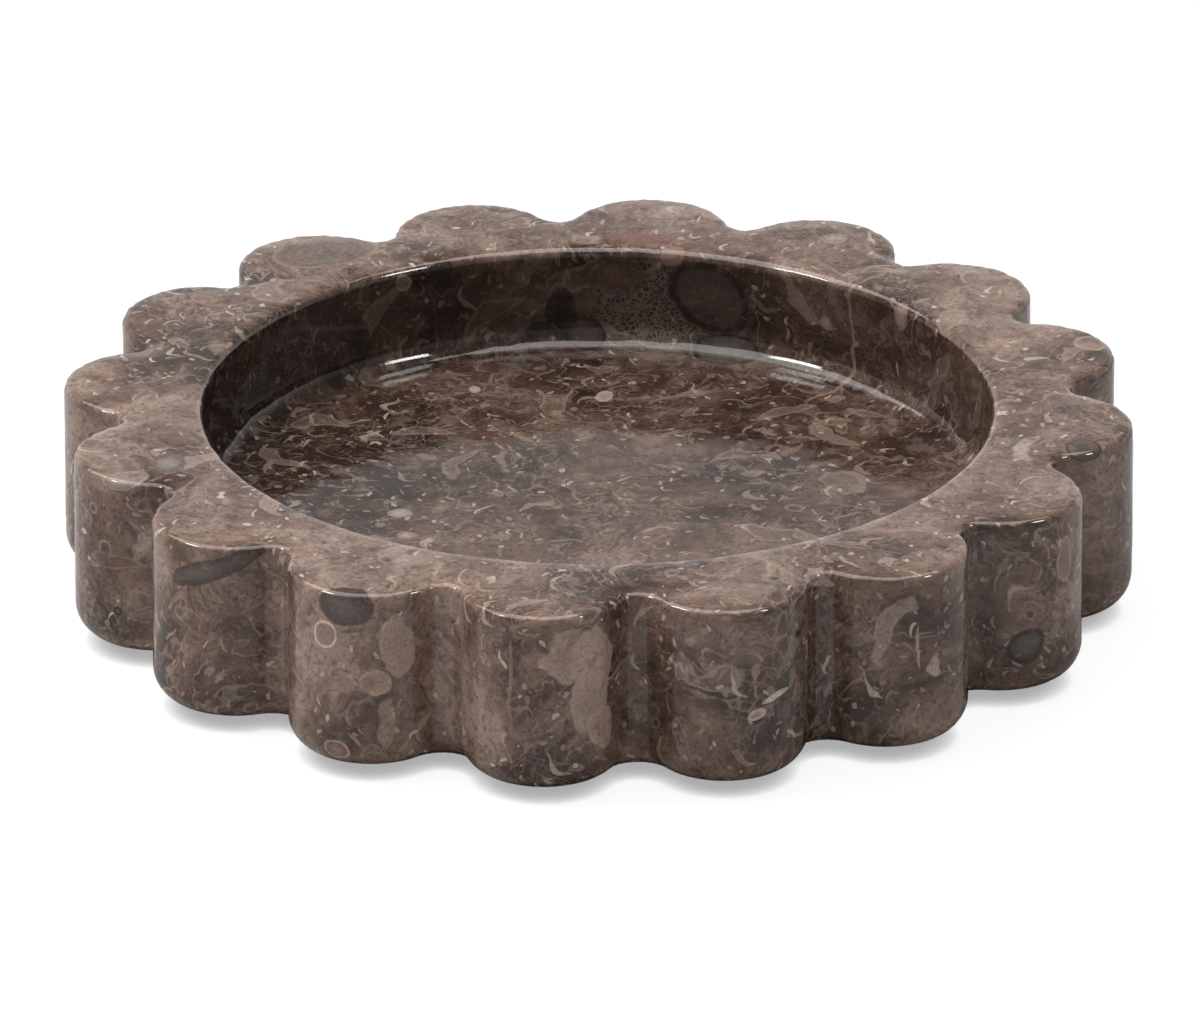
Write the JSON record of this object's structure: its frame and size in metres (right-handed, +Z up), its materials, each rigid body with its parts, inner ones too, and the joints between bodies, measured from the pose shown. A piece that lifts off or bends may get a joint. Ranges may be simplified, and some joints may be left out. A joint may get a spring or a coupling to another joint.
{
  "type": "ring dish",
  "caption": "Low round stone dish with a scalloped outer edge of rounded full-height lobes and a plain round recess for rings.",
  "frame": {"origin": "centre of the dish, at the underside of its pads, which rest on the table", "axes": "+Z up out of the recess, +X through the middle of one lobe, +Y a quarter turn on, also through the middle of a lobe"},
  "size_m": [0.09, 0.09, 0.017],
  "materials": {
    "stone": "polished dark taupe limestone full of pale and dark fossils",
    "pad": "matte black soft foam rubber"
  },
  "bodies": {
    "root": {"stone_dish": "stone", "foot_pad_1": "pad", "foot_pad_2": "pad", "foot_pad_3": "pad", "foot_pad_4": "pad"}
  },
  "joints": []
}
